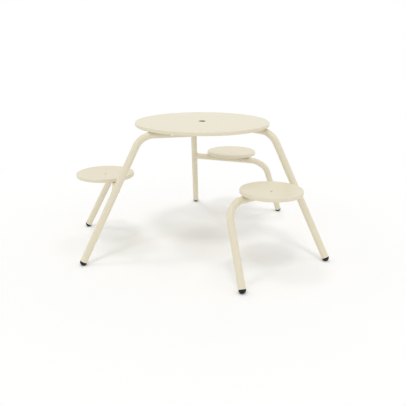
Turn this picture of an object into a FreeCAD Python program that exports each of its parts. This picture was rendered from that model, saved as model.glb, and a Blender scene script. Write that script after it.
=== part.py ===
import FreeCAD
import Part

import math
import os

# Round table with three round seats that ride on arms welded to the table's own legs.
# Millimetres, +Z up, origin on the floor below the middle of the table top.
# One leg, one arm and one seat make a unit. The unit is modelled with its leg's foot on +X,
# and copies of it are turned about the table's axis.

Vec = FreeCAD.Vector
UP = Vec(0, 0, 1)
ORIGIN = Vec(0, 0, 0)

# Layout: angles are in degrees, clockwise seen from above, counted from the leg's foot
UNIT_COUNT = 3
FIRST_LEG_BEARING = 90
FOOT_CIRCLE_RADIUS = 803.6
LEG_CORNER_BEYOND_RIM = 29.4
LEG_CORNER_ANGLE = -4.8
ARM_CORNER_RADIUS = 588
ARM_CORNER_ANGLE = 50.3
SEAT_FOOT_ANGLE = 48.35

# Bent tube
TUBE_DIAMETER = 40
TUBE_WALL = 2.5
BEND_RADIUS = 115
COPE_TRIM = 3

# Level run of a leg below the top
RUN_LENGTH = 310
RUN_OFFSET = 175
RUN_RISE_ABOVE_RIM = 0.5
RIM_CLEARANCE = 0.6

# Table top: pressed sheet with a turned-down rim and a lip turned in below it
TABLE_HEIGHT = 746
TABLE_DIAMETER = 800
TABLE_RIM_DEPTH = 20.5
TABLE_EDGE_RADIUS = 5
TABLE_LIP_WIDTH = 12
TABLE_SHEET = 3

# Bush that lines the parasol hole, its flange let into a pressed step so that the top stays flat
BUSH_BORE_DIAMETER = 36
BUSH_WALL = 1.8
BUSH_LENGTH = 19
BUSH_FLANGE_WIDTH = 1.7
BUSH_STEP_DEPTH = 1.5
BUSH_SINK = 0.1
BUSH_BARB_HEIGHT = 3
BUSH_CLEARANCE = 0.2
BUSH_MOUTH_ROUND = 0.7

# Seat: dished pressed sheet with the same kind of rim, set outward of the arm's middle
SEAT_HEIGHT = 453
SEAT_DIAMETER = 340
SEAT_RIM_DEPTH = 22
SEAT_EDGE_RADIUS = 5
SEAT_LIP_WIDTH = 10
SEAT_SHEET = 2.5
SEAT_DISH = 11
SEAT_DRAIN_DIAMETER = 15
SEAT_DRAIN_COLLAR = 6
SEAT_OUTSET = 58.5
SEAT_TUBE_GAP = 3

# Channel bracket between the top and a run
CHANNEL_GAUGE = 3
CHANNEL_CLEARANCE = 0.3
CHANNEL_REACH_BELOW_AXIS = 9
CHANNEL_CORNER_RADIUS = 5
CHANNEL_END_MARGIN = 30
CHANNEL_BOLT_SPACING = 80
CHANNEL_BOLT_FROM_RUN_END = 59

# Seat bracket: plate with two coped ribs on the arm
PLATE_THICKNESS = 5
PLATE_MARGIN = 18
PLATE_CORNER_RADIUS = 15
SEAT_BOLT_HALF_ALONG = 55
SEAT_BOLT_HALF_ACROSS = 92
RIB_THICKNESS = 5
RIB_DEPTH = 14
RIB_TIP_DEPTH = 5
RIB_SADDLE_MARGIN = 4
RIB_HALF_SPACING = 25
RIB_END_INSET = 6
BOSS_DIAMETER = 18
BOSS_THREAD_DEPTH = 8

# Fasteners, one thread size throughout
THREAD_DIAMETER = 8
HOLE_CLEARANCE = 0.5
THREAD_CLEARANCE = 0.1
HEX_ACROSS_FLATS = 13
HEX_HEAD_HEIGHT = 5.3
NUT_HEIGHT = 6.5
BOLT_PAST_NUT = 2.5
WASHER_DIAMETER = 17
WASHER_THICKNESS = 1.6
DOME_HEAD_DIAMETER = 16
DOME_HEAD_HEIGHT = 4.4
DOME_HEAD_SIDE = 1
DOME_SOCKET_ACROSS_FLATS = 5
DOME_SOCKET_DEPTH = 2.5

# Domed feet and end plugs in the tube ends
FOOT_DOME_HEIGHT = 20
FOOT_COLLAR = 2
FOOT_FLAT_DEPTH = 0.8
SPIGOT_CLEARANCE = 0.1
SPIGOT_CORE_STEP = 1.6
FOOT_FIN_COUNT = 3
FOOT_FIN_THICKNESS = 2
FOOT_FIN_PITCH = 9
PLUG_CAP_HEIGHT = 3
PLUG_CAP_ROUND = 1.5
PLUG_FIN_COUNT = 2

# Sizes that follow from the ones above
TUBE_RADIUS = TUBE_DIAMETER / 2
TUBE_INNER_RADIUS = TUBE_RADIUS - TUBE_WALL
LEG_CORNER_RADIUS = TABLE_DIAMETER / 2 + LEG_CORNER_BEYOND_RIM
RUN_HEIGHT = TABLE_HEIGHT - TABLE_RIM_DEPTH + RUN_RISE_ABOVE_RIM - TUBE_RADIUS
ARM_HEIGHT = SEAT_HEIGHT - SEAT_RIM_DEPTH - SEAT_TUBE_GAP - TUBE_RADIUS
PLATE_BOTTOM = ARM_HEIGHT + TUBE_RADIUS
PLATE_TOP = PLATE_BOTTOM + PLATE_THICKNESS
THREAD_RADIUS = THREAD_DIAMETER / 2
HOLE_RADIUS = THREAD_RADIUS + HOLE_CLEARANCE
CHANNEL_INNER_HALF = TUBE_RADIUS + CHANNEL_CLEARANCE
CHANNEL_OUTER_HALF = CHANNEL_INNER_HALF + CHANNEL_GAUGE
CHANNEL_BOLTS = [RUN_LENGTH - CHANNEL_BOLT_FROM_RUN_END - i * CHANNEL_BOLT_SPACING for i in (1, 0)]
BUSH_BODY_RADIUS = BUSH_BORE_DIAMETER / 2 + BUSH_WALL
TABLE_HOLE_RADIUS = BUSH_BODY_RADIUS + BUSH_CLEARANCE
BUSH_FLANGE_RADIUS = TABLE_HOLE_RADIUS + BUSH_FLANGE_WIDTH
BUSH_STEP_RADIUS = BUSH_FLANGE_RADIUS + BUSH_CLEARANCE
BUSH_SEAT_HEIGHT = TABLE_HEIGHT - BUSH_STEP_DEPTH
SEAT_DISH_RADIUS = (((SEAT_DIAMETER / 2 - SEAT_EDGE_RADIUS) ** 2 / SEAT_DISH + SEAT_DISH) / 2
                    - SEAT_EDGE_RADIUS)
OVERSHOOT = 5
TOLERANCE = 0.001


def at(radius, clockwise, height):
    """Point of the unit at a plan radius, an angle clockwise from the leg's foot and a height."""
    angle = math.radians(-clockwise)
    return Vec(radius * math.cos(angle), radius * math.sin(angle), height)


def turned(direction, degrees):
    """Level direction turned counter-clockwise seen from above."""
    return FreeCAD.Rotation(UP, degrees).multVec(direction)


LEG_FLOOR = at(FOOT_CIRCLE_RADIUS, 0, 0)
LEG_CORNER = at(LEG_CORNER_RADIUS, LEG_CORNER_ANGLE, RUN_HEIGHT)
RUN_SWING = math.degrees(math.asin(RUN_OFFSET / LEG_CORNER_RADIUS))
RUN_DIRECTION = turned(-at(1, LEG_CORNER_ANGLE, 0), -RUN_SWING)
RUN_END = LEG_CORNER + RUN_DIRECTION * RUN_LENGTH
ARM_ON_LEG = LEG_FLOOR + (LEG_CORNER - LEG_FLOOR) * (ARM_HEIGHT / RUN_HEIGHT)
ARM_CORNER = at(ARM_CORNER_RADIUS, ARM_CORNER_ANGLE, ARM_HEIGHT)
ARM_DIRECTION = (ARM_CORNER - ARM_ON_LEG).normalize()
SEAT_FLOOR = at(FOOT_CIRCLE_RADIUS, SEAT_FOOT_ANGLE, 0)
SEAT_MIDDLE = (ARM_ON_LEG + ARM_CORNER) / 2 + turned(ARM_DIRECTION, 90) * SEAT_OUTSET


def disc(middle, direction, radius):
    """Flat round face."""
    return Part.Face(Part.Wire(Part.makeCircle(radius, middle, direction)))


def bent_rod(start, corner, end, radius):
    """Round bar from start to end, bent at the corner with the tube's bend radius."""
    first = (corner - start).normalize()
    second = (end - corner).normalize()
    turn = first.getAngle(second)
    set_back = BEND_RADIUS * math.tan(turn / 2)
    bend_start = corner - first * set_back
    bend_end = corner + second * set_back
    hinge = first.cross(second).normalize()
    bend_middle = bend_start + hinge.cross(first) * BEND_RADIUS
    lower = disc(start, first, radius).extrude(bend_start - start)
    bend = disc(bend_start, first, radius).revolve(bend_middle, hinge, math.degrees(turn))
    upper = disc(bend_end, second, radius).extrude(end - bend_end)
    return lower.fuse([bend, upper]).removeSplitter()


def bent_tube(start, corner, end):
    """Round tube with both ends cut square."""
    outside = bent_rod(start, corner, end, TUBE_RADIUS)
    return outside.cut(bent_rod(start, corner, end, TUBE_INNER_RADIUS))


def revolved(edges):
    """Solid of revolution about Z from a closed profile in the XZ plane."""
    face = Part.Face(Part.Wire(edges))
    return face.revolve(ORIGIN, UP, 360)


def line(start, end):
    """Straight edge in the XZ plane between points given as (radius, height)."""
    return Part.makeLine(Vec(start[0], 0, start[1]), Vec(end[0], 0, end[1]))


def arc(middle, radius, first_degrees, last_degrees):
    """Arc in the XZ plane, angles counted from +X towards +Z."""
    spots = []
    for degrees in (first_degrees, (first_degrees + last_degrees) / 2, last_degrees):
        angle = math.radians(degrees)
        spots.append(Vec(middle[0] + radius * math.cos(angle), 0, middle[1] + radius * math.sin(angle)))
    return Part.Arc(*spots).toShape()


def rim_skin(edge_middle, lower_middle, radius, lean, lip_end):
    """One side of the rim: shoulder, upright, lower bend and the lip that is turned in."""
    upright = edge_middle[0] + radius
    low = lower_middle[1] - radius
    return [arc(edge_middle, radius, 90 + lean, 0),
            line((upright, edge_middle[1]), (upright, lower_middle[1])),
            arc(lower_middle, radius, 0, -90),
            line((lower_middle[0], low), (lip_end, low))]


def pan(diameter, top, rim_depth, edge_radius, lip_width, sheet, hole_radius, dish=None, step=None):
    """Round pressed pan with a lip turned in below its rim. It is either dished, with dish giving the
    radius of the dish and the depth of the collar drawn down round its hole, or flat, with step
    giving the radius and depth of a step pressed down round its hole."""
    shoulder = diameter / 2 - edge_radius
    edge_middle = (shoulder, top - edge_radius)
    lower_middle = (shoulder, top - rim_depth + edge_radius)
    inner_radius = edge_radius - sheet
    faces = []
    mouths = []
    if dish:
        dish_radius, collar = dish
        lean = math.degrees(math.asin(shoulder / (dish_radius + edge_radius)))
        drop = math.sqrt((dish_radius + edge_radius) ** 2 - shoulder ** 2)
        dish_middle = (0, edge_middle[1] + drop)
        for skin in (0, sheet):
            radius = dish_radius + skin
            start = hole_radius + skin
            hole_lean = math.degrees(math.asin(start / radius))
            faces.append([arc(dish_middle, radius, hole_lean - 90, lean - 90)])
            mouths.append((start, dish_middle[1] - math.sqrt(radius ** 2 - start ** 2)))
        collar_low = dish_middle[1] - dish_radius - collar
        mouths[1:1] = [(start, collar_low) for start in (hole_radius, hole_radius + sheet)]
    else:
        lean = 0
        step_radius, step_depth = step
        for z in (top, top - sheet):
            low = z - step_depth
            spots = [(hole_radius, low), (step_radius, low), (step_radius, z), (shoulder, z)]
            faces.append([line(a, b) for a, b in zip(spots, spots[1:])])
            mouths.append((hole_radius, low))
    hole_edges = [line(a, b) for a, b in zip(mouths, mouths[1:])]
    lip_end = diameter / 2 - lip_width
    outside = rim_skin(edge_middle, lower_middle, edge_radius, lean, lip_end)
    inside = rim_skin(edge_middle, lower_middle, inner_radius, lean, lip_end)
    low = top - rim_depth
    lip_edge = line((lip_end, low), (lip_end, low + sheet))
    edges = faces[0] + outside + [lip_edge] + inside[::-1] + faces[1][::-1] + hole_edges
    return revolved(Part.__sortEdges__(edges))


def hexagon(across_flats, height):
    """Hexagonal prism that stands on the XY plane."""
    corner = across_flats / math.sqrt(3)
    corners = [FreeCAD.Rotation(UP, 60 * i).multVec(Vec(corner, 0, 0)) for i in range(6)]
    return Part.Face(Part.makePolygon(corners + corners[:1])).extrude(UP * height)


def hex_bolt(length):
    """Bolt that points up, its head's bearing face on the XY plane."""
    head = hexagon(HEX_ACROSS_FLATS, HEX_HEAD_HEIGHT)
    head.translate(UP * -HEX_HEAD_HEIGHT)
    return head.fuse(Part.makeCylinder(THREAD_RADIUS, length)).removeSplitter()


def dome_bolt(length):
    """Button-head bolt that points up, its head's bearing face on the XY plane."""
    half = DOME_HEAD_DIAMETER / 2
    crown = DOME_HEAD_HEIGHT - DOME_HEAD_SIDE
    crown_radius = (half ** 2 + crown ** 2) / (2 * crown)
    crown_middle = (0, crown_radius - DOME_HEAD_HEIGHT)
    edge_degrees = -math.degrees(math.acos(half / crown_radius))
    head = revolved([line((0, 0), (half, 0)),
                     line((half, 0), (half, -DOME_HEAD_SIDE)),
                     arc(crown_middle, crown_radius, edge_degrees, -90),
                     line((0, -DOME_HEAD_HEIGHT), (0, 0))])
    socket = hexagon(DOME_SOCKET_ACROSS_FLATS, DOME_SOCKET_DEPTH + OVERSHOOT)
    socket.translate(UP * -(DOME_HEAD_HEIGHT + OVERSHOOT))
    return head.cut(socket).fuse(Part.makeCylinder(THREAD_RADIUS, length)).removeSplitter()


def finned_spigot(fin_count):
    """Profile points of a spigot that grips a tube's bore with fins, from its base upwards."""
    core = TUBE_INNER_RADIUS - SPIGOT_CORE_STEP
    fin = TUBE_INNER_RADIUS - SPIGOT_CLEARANCE
    points = []
    for i in range(fin_count):
        crest = (i + 1) * FOOT_FIN_PITCH
        base = crest - FOOT_FIN_THICKNESS
        points += [(core, base), (fin, base), (fin, crest), (core, crest)]
    return core, points


def spigot_edges(fin_count, base_radius):
    """Profile edges from the rim of the base, up the spigot and back to the axis."""
    core, points = finned_spigot(fin_count)
    points = [(base_radius, 0), (core, 0)] + points
    top = points[-1][1]
    points = points[:-1] + [(0, top)]
    return [line(a, b) for a, b in zip(points, points[1:])]


def along(point, direction):
    """Placement that stands a piece made along +Z at a point, along a direction."""
    return FreeCAD.Placement(point, FreeCAD.Rotation(UP, direction))


def foot_places(floor_point, corner):
    """Middle of the dome's sphere and the square end of the tube, on a leg's axis."""
    sphere = (TUBE_RADIUS ** 2 + FOOT_DOME_HEIGHT ** 2) / (2 * FOOT_DOME_HEIGHT)
    axis = (corner - floor_point).normalize()
    middle = floor_point + axis * ((sphere - FOOT_FLAT_DEPTH) / axis.z)
    return sphere, axis, middle - axis * (sphere - FOOT_DOME_HEIGHT - FOOT_COLLAR)


def domed_foot(floor_point, corner):
    """Domed plug with a short collar in the lower end of a leg, worn flat where it meets the floor."""
    sphere, axis, tube_end = foot_places(floor_point, corner)
    edge_degrees = -math.degrees(math.asin((sphere - FOOT_DOME_HEIGHT) / sphere))
    dome = arc((0, sphere - FOOT_DOME_HEIGHT - FOOT_COLLAR), sphere, edge_degrees, -90)
    collar = line((TUBE_RADIUS, -FOOT_COLLAR), (TUBE_RADIUS, 0))
    edges = [dome, collar] + spigot_edges(FOOT_FIN_COUNT, TUBE_RADIUS)
    top = FOOT_FIN_PITCH * FOOT_FIN_COUNT
    edges.append(line((0, top), (0, -FOOT_DOME_HEIGHT - FOOT_COLLAR)))
    foot = revolved(Part.__sortEdges__(edges))
    foot.Placement = along(tube_end, axis)
    ground = Part.makeBox(2 * TUBE_DIAMETER, 2 * TUBE_DIAMETER, TUBE_DIAMETER)
    ground.translate(Vec(tube_end.x - TUBE_DIAMETER, tube_end.y - TUBE_DIAMETER, -TUBE_DIAMETER))
    return foot.cut(ground)


def end_plug():
    """Flat-capped plug in the inner end of a run."""
    cap_round = arc((TUBE_RADIUS - PLUG_CAP_ROUND, PLUG_CAP_ROUND - PLUG_CAP_HEIGHT), PLUG_CAP_ROUND, 0, -90)
    top = FOOT_FIN_PITCH * PLUG_FIN_COUNT
    edges = [line((TUBE_RADIUS, 0), (TUBE_RADIUS, PLUG_CAP_ROUND - PLUG_CAP_HEIGHT)),
             cap_round,
             line((TUBE_RADIUS - PLUG_CAP_ROUND, -PLUG_CAP_HEIGHT), (0, -PLUG_CAP_HEIGHT)),
             line((0, -PLUG_CAP_HEIGHT), (0, top))]
    edges += spigot_edges(PLUG_FIN_COUNT, TUBE_RADIUS)
    plug = revolved(Part.__sortEdges__(edges))
    plug.Placement = along(RUN_END, -RUN_DIRECTION)
    return plug


def on_run(shape):
    """Place a piece made along +X, with +Z up, on the run's axis with its zero at the leg's corner."""
    shape.Placement = FreeCAD.Placement(LEG_CORNER, FreeCAD.Rotation(Vec(1, 0, 0), RUN_DIRECTION))
    return shape


def at_seat(shape):
    """Place a piece made about the seat's middle, +X along the arm and +Y outward, at height zero."""
    base = Vec(SEAT_MIDDLE.x, SEAT_MIDDLE.y, 0)
    shape.Placement = FreeCAD.Placement(base, FreeCAD.Rotation(Vec(1, 0, 0), ARM_DIRECTION))
    return shape


def across_run(shape, x, y):
    """Lay a piece made along +Z across the run, pointing to +Y."""
    shape.Placement = FreeCAD.Placement(Vec(x, y, 0), FreeCAD.Rotation(Vec(1, 0, 0), -90))
    return shape


def channel_bolt_holes():
    reach = CHANNEL_OUTER_HALF + OVERSHOOT
    holes = [across_run(Part.makeCylinder(HOLE_RADIUS, 2 * reach), x, -reach) for x in CHANNEL_BOLTS]
    return Part.makeCompound(holes)


def top_channel():
    """Folded channel over the run, its web against the underside of the top."""
    start = CHANNEL_BOLTS[0] - CHANNEL_END_MARGIN
    length = CHANNEL_BOLTS[-1] + CHANNEL_END_MARGIN - start
    web_top = TABLE_HEIGHT - TABLE_SHEET - RUN_HEIGHT
    low = -CHANNEL_REACH_BELOW_AXIS
    outer = Part.makeBox(length, 2 * CHANNEL_OUTER_HALF, web_top - low, Vec(start, -CHANNEL_OUTER_HALF, low))
    inner_top = web_top - CHANNEL_GAUGE
    inner = Part.makeBox(length + 2 * OVERSHOOT, 2 * CHANNEL_INNER_HALF, inner_top - low + OVERSHOOT,
                         Vec(start - OVERSHOOT, -CHANNEL_INNER_HALF, low - OVERSHOOT))
    folds = []
    for block, height, radius in ((outer, web_top, CHANNEL_CORNER_RADIUS),
                                  (inner, inner_top, CHANNEL_CORNER_RADIUS - CHANNEL_GAUGE)):
        corners = [e for e in block.Edges if abs(e.CenterOfMass.z - height) < TOLERANCE
                   and abs(e.CenterOfMass.y) > TOLERANCE]
        folds.append(block.makeFillet(radius, corners))
    return on_run(folds[0].cut(folds[1]).cut(channel_bolt_holes()))


def channel_bolts():
    grip = 2 * CHANNEL_OUTER_HALF + NUT_HEIGHT + BOLT_PAST_NUT
    bolts = [across_run(dome_bolt(grip), x, -CHANNEL_OUTER_HALF) for x in CHANNEL_BOLTS]
    return on_run(Part.makeCompound(bolts))


def channel_nuts():
    nuts = []
    for x in CHANNEL_BOLTS:
        bore = Part.makeCylinder(THREAD_RADIUS + THREAD_CLEARANCE, NUT_HEIGHT)
        nuts.append(across_run(hexagon(HEX_ACROSS_FLATS, NUT_HEIGHT).cut(bore), x, CHANNEL_OUTER_HALF))
    return on_run(Part.makeCompound(nuts))


def leg_tube():
    """Table leg and its level run in one bent tube, drilled for the channel's bolts."""
    tube_end = foot_places(LEG_FLOOR, LEG_CORNER)[2]
    return bent_tube(tube_end, LEG_CORNER, RUN_END).cut(on_run(channel_bolt_holes()))


def seat_arm():
    """Seat arm and seat leg in one bent tube, its level end coped to the leg."""
    tube_end = foot_places(SEAT_FLOOR, ARM_CORNER)[2]
    tube = bent_tube(ARM_ON_LEG + ARM_DIRECTION * COPE_TRIM, ARM_CORNER, tube_end)
    leg_axis = (LEG_CORNER - LEG_FLOOR).normalize()
    reach = 2 * TUBE_DIAMETER
    cope = Part.makeCylinder(TUBE_RADIUS, 2 * reach, ARM_ON_LEG - leg_axis * reach, leg_axis)
    return tube.cut(cope)


def seat_bolt_spots():
    return [Vec(x, y, 0) for x in (-SEAT_BOLT_HALF_ALONG, SEAT_BOLT_HALF_ALONG)
            for y in (-SEAT_BOLT_HALF_ACROSS, SEAT_BOLT_HALF_ACROSS)]


def seat_rib(x):
    """Upright rib below the plate, deep over the arm and shallow at its two ends."""
    half = SEAT_BOLT_HALF_ACROSS + PLATE_MARGIN - RIB_END_INSET
    saddle = TUBE_RADIUS + RIB_SADDLE_MARGIN
    corners = [(-half, 0), (half, 0), (half, -RIB_TIP_DEPTH), (saddle - SEAT_OUTSET, -RIB_DEPTH),
               (-saddle - SEAT_OUTSET, -RIB_DEPTH), (-half, -RIB_TIP_DEPTH)]
    points = [Vec(x - RIB_THICKNESS / 2, y, PLATE_BOTTOM + z) for y, z in corners]
    return Part.Face(Part.makePolygon(points + points[:1])).extrude(Vec(RIB_THICKNESS, 0, 0))


def seat_bracket():
    """Plate that carries the seat, with ribs that sit on the arm."""
    half_along = SEAT_BOLT_HALF_ALONG + PLATE_MARGIN
    half_across = SEAT_BOLT_HALF_ACROSS + PLATE_MARGIN
    plate = Part.makeBox(2 * half_along, 2 * half_across, PLATE_THICKNESS,
                         Vec(-half_along, -half_across, PLATE_BOTTOM))
    uprights = [e for e in plate.Edges if e.Vertexes[0].Z != e.Vertexes[1].Z]
    plate = plate.makeFillet(PLATE_CORNER_RADIUS, uprights)
    arm_start = Vec(-half_along, -SEAT_OUTSET, ARM_HEIGHT)
    arm = Part.makeCylinder(TUBE_RADIUS, 2 * half_along, arm_start, Vec(1, 0, 0))
    ribs = [seat_rib(x).cut(arm) for x in (-RIB_HALF_SPACING, RIB_HALF_SPACING)]
    bracket = plate.fuse(ribs).removeSplitter()
    holes = [Part.makeCylinder(HOLE_RADIUS, PLATE_THICKNESS, spot + UP * PLATE_BOTTOM)
             for spot in seat_bolt_spots()]
    return at_seat(bracket.cut(holes))


def seat_bosses():
    """Threaded bosses that stand on the plate and end on the underside of the dish."""
    dish_middle = UP * (SEAT_HEIGHT - SEAT_DISH + SEAT_DISH_RADIUS)
    underside = Part.makeSphere(SEAT_DISH_RADIUS + SEAT_SHEET, dish_middle)
    bosses = []
    for spot in seat_bolt_spots():
        base = spot + UP * PLATE_TOP
        post = Part.makeCylinder(BOSS_DIAMETER / 2, SEAT_HEIGHT - PLATE_TOP, base)
        thread = Part.makeCylinder(THREAD_RADIUS + THREAD_CLEARANCE, BOSS_THREAD_DEPTH, base)
        bosses.append(post.cut(underside).cut(thread))
    return at_seat(Part.makeCompound(bosses))


def seat_washers():
    washers = []
    for spot in seat_bolt_spots():
        base = spot + UP * (PLATE_BOTTOM - WASHER_THICKNESS)
        ring = Part.makeCylinder(WASHER_DIAMETER / 2, WASHER_THICKNESS, base)
        washers.append(ring.cut(Part.makeCylinder(HOLE_RADIUS, WASHER_THICKNESS, base)))
    return at_seat(Part.makeCompound(washers))


def seat_bolts():
    length = WASHER_THICKNESS + PLATE_THICKNESS + BOSS_THREAD_DEPTH - THREAD_CLEARANCE
    bolts = []
    for spot in seat_bolt_spots():
        bolt = hex_bolt(length)
        bolt.translate(spot + UP * (PLATE_BOTTOM - WASHER_THICKNESS))
        bolts.append(bolt)
    return at_seat(Part.makeCompound(bolts))


def seat_pan():
    return at_seat(pan(SEAT_DIAMETER, SEAT_HEIGHT, SEAT_RIM_DEPTH, SEAT_EDGE_RADIUS, SEAT_LIP_WIDTH,
                       SEAT_SHEET, SEAT_DRAIN_DIAMETER / 2, dish=(SEAT_DISH_RADIUS, SEAT_DRAIN_COLLAR)))


def table_top():
    """Flat pressed pan, relieved wherever a run comes closer to its rim than the clearance."""
    top = pan(TABLE_DIAMETER, TABLE_HEIGHT, TABLE_RIM_DEPTH, TABLE_EDGE_RADIUS, TABLE_LIP_WIDTH,
              TABLE_SHEET, TABLE_HOLE_RADIUS, step=(BUSH_STEP_RADIUS, BUSH_STEP_DEPTH))
    room = bent_rod(ARM_ON_LEG, LEG_CORNER, RUN_END, TUBE_RADIUS + RIM_CLEARANCE)
    return top.cut([in_unit(room, i) for i in range(UNIT_COUNT)])


def parasol_bush():
    """Flanged bush, pushed into the hole from above and held by a barb below the sheet."""
    bore = BUSH_BORE_DIAMETER / 2
    flange = BUSH_FLANGE_RADIUS
    top = TABLE_HEIGHT - BUSH_SINK
    low = TABLE_HEIGHT - BUSH_LENGTH
    seat = BUSH_SEAT_HEIGHT - TABLE_SHEET - BUSH_CLEARANCE
    barb = TABLE_HOLE_RADIUS + BUSH_CLEARANCE
    soft = BUSH_MOUTH_ROUND
    edges = [line((bore, low), (BUSH_BODY_RADIUS, low)),
             line((BUSH_BODY_RADIUS, low), (BUSH_BODY_RADIUS, seat - BUSH_BARB_HEIGHT)),
             line((BUSH_BODY_RADIUS, seat - BUSH_BARB_HEIGHT), (barb, seat)),
             line((barb, seat), (BUSH_BODY_RADIUS, seat)),
             line((BUSH_BODY_RADIUS, seat), (BUSH_BODY_RADIUS, BUSH_SEAT_HEIGHT)),
             line((BUSH_BODY_RADIUS, BUSH_SEAT_HEIGHT), (flange, BUSH_SEAT_HEIGHT)),
             line((flange, BUSH_SEAT_HEIGHT), (flange, top - soft)),
             arc((flange - soft, top - soft), soft, 0, 90),
             line((flange - soft, top), (bore + soft, top)),
             arc((bore + soft, top - soft), soft, 90, 180),
             line((bore, top - soft), (bore, low))]
    return revolved(edges)


def in_unit(shape, index):
    """Copy of a unit's piece, turned about the table's axis into its place."""
    copy = shape.copy()
    copy.rotate(ORIGIN, UP, FIRST_LEG_BEARING + index * 360 / UNIT_COUNT)
    return copy


def save(name, shape):
    for solid in shape.Solids:
        if not solid.isValid():
            raise ValueError(name + " has a solid that isn't valid")
    shape.exportStep("parts/" + name + ".step")
    print(name, len(shape.Solids), "solids", round(shape.Volume / 1000, 1), "cm3")


os.makedirs("parts", exist_ok=True)
save("table_top", table_top())
save("parasol_bush", parasol_bush())
unit_pieces = {
    "leg_tube": leg_tube(),
    "leg_foot": domed_foot(LEG_FLOOR, LEG_CORNER),
    "leg_end_plug": end_plug(),
    "top_channel": top_channel(),
    "channel_bolts": channel_bolts(),
    "channel_nuts": channel_nuts(),
    "seat_arm": seat_arm(),
    "seat_leg_foot": domed_foot(SEAT_FLOOR, ARM_CORNER),
    "seat_bracket": seat_bracket(),
    "seat_pan": seat_pan(),
    "seat_bosses": seat_bosses(),
    "seat_bolts": seat_bolts(),
    "seat_washers": seat_washers(),
}
for name, piece in unit_pieces.items():
    for index in range(UNIT_COUNT):
        save(name + "_" + str(index + 1), in_unit(piece, index))
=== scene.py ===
# %% [markdown]
# # A round table that carries its own seats
# This lesson dresses the CAD model of an outdoor table: a round steel top on three bent legs, with a
# round seat on an arm beside each leg. CAD settles every size and place, and here each visible piece
# gets a smooth mesh and a finish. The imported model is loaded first, as the frame that all else fits.

# %% Load the frame
import math

import bmesh
import bpy
from mathutils import Matrix, Vector
from mathutils.geometry import intersect_point_line


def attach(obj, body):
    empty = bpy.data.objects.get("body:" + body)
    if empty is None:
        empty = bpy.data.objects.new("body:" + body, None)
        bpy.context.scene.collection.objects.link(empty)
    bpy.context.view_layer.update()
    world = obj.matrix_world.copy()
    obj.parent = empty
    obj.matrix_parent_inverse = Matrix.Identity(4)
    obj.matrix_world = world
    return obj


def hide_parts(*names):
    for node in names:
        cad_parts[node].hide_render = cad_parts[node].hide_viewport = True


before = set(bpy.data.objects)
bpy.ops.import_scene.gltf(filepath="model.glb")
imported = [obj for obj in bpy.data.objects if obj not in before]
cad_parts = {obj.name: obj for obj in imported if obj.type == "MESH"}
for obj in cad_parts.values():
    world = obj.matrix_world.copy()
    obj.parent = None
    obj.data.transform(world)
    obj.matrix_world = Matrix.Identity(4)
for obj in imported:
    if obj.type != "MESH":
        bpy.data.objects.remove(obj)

scene = bpy.context.scene
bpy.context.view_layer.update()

# %% [markdown]
# ## The camera
# The photograph looks slightly down on the table from about three metres away. A camera could be
# placed by eye, but here its place, heading and lens were solved from the feet, seats and top as
# they lie in the picture. The small shift is the picture's own off-centre crop.

# %% Place the camera
CAMERA_PLACE = (-0.1795, -3.1375, 1.2176)
CAMERA_HEADING = 0.04393
CAMERA_LOOKS_DOWN = 0.3038
CAMERA_LENS = 46.55
CAMERA_SENSOR = 36
CAMERA_SHIFT = 0.0193

lens = bpy.data.cameras.new("camera")
lens.sensor_width = CAMERA_SENSOR
lens.lens = CAMERA_LENS
lens.shift_x = CAMERA_SHIFT
camera = bpy.data.objects.new("camera", lens)
camera.location = CAMERA_PLACE
camera.rotation_euler = (math.pi / 2 - CAMERA_LOOKS_DOWN, 0, -CAMERA_HEADING)
scene.collection.objects.link(camera)
scene.camera = camera
print("camera at", CAMERA_PLACE)

# %% [markdown]
# ## A short way to write nodes
# Every finish and every Geometry Nodes tree below is a handful of nodes. Written out in full, each
# node takes four or five lines, so one small function makes a node, sets its choices, and links or
# fills its sockets by name. A sum's sockets share one name, so a second function fills them in order.

# %% One node at a time
def set_socket(tree, socket, value):
    """Link a socket from another one, or fill it with a plain value."""
    if isinstance(value, bpy.types.NodeSocket):
        tree.links.new(value, socket)
    else:
        socket.default_value = value


def node(tree, kind, choices=None, **inputs):
    """Add a node: choices are its own settings, inputs are sockets to link from or plain values."""
    made = tree.nodes.new(kind)
    for choice, value in (choices or {}).items():
        setattr(made, choice, value)
    for name, value in inputs.items():
        set_socket(tree, made.inputs[name.replace("_", " ")], value)
    return made


def calc(tree, operation, *values):
    """One sum of numbers and sockets, as a socket."""
    made = node(tree, "ShaderNodeMath", {"operation": operation})
    for socket, value in zip(made.inputs, values):
        set_socket(tree, socket, value)
    return made.outputs["Value"]


# %% [markdown]
# ## Cream powder coat
# The whole steelwork is sprayed with dry cream powder and baked, which leaves a satin skin with a
# fine orange-peel grain. A flat colour would look like plastic. So a fine speckle lifts the surface
# by a few hundredths of a millimetre and a wider one drifts the colour and the gloss a little.

# %% Speckle, colour and grain
SPECKLE_LOW = 0.3
SPECKLE_HIGH = 0.7


def noise(tree, scale, detail=2.0):
    """Even speckle in the object's own metres, about 1 / scale metres to a speck."""
    place = node(tree, "ShaderNodeTexCoord").outputs["Object"]
    return node(tree, "ShaderNodeTexNoise", Vector=place, Scale=scale, Detail=detail).outputs["Fac"]


def between(tree, value, low, high, start=SPECKLE_LOW, end=SPECKLE_HIGH):
    """Spread the range of a value, such as a speckle's, over low to high."""
    spread = node(tree, "ShaderNodeMapRange", Value=value, From_Min=start, From_Max=end,
                  To_Min=low, To_Max=high)
    return spread.outputs["Result"]


def ramp(tree, value, dark, light):
    """Blend from one colour to another."""
    made = node(tree, "ShaderNodeValToRGB", Fac=value)
    for stop, colour in zip(made.color_ramp.elements, (dark, light)):
        stop.color = (*colour, 1)
    return made.outputs["Color"]


def bump(tree, height, depth):
    """Raise the surface by a speckle, depth metres from lowest to highest."""
    return node(tree, "ShaderNodeBump", Height=height, Distance=depth, Strength=1.0).outputs["Normal"]


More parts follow.
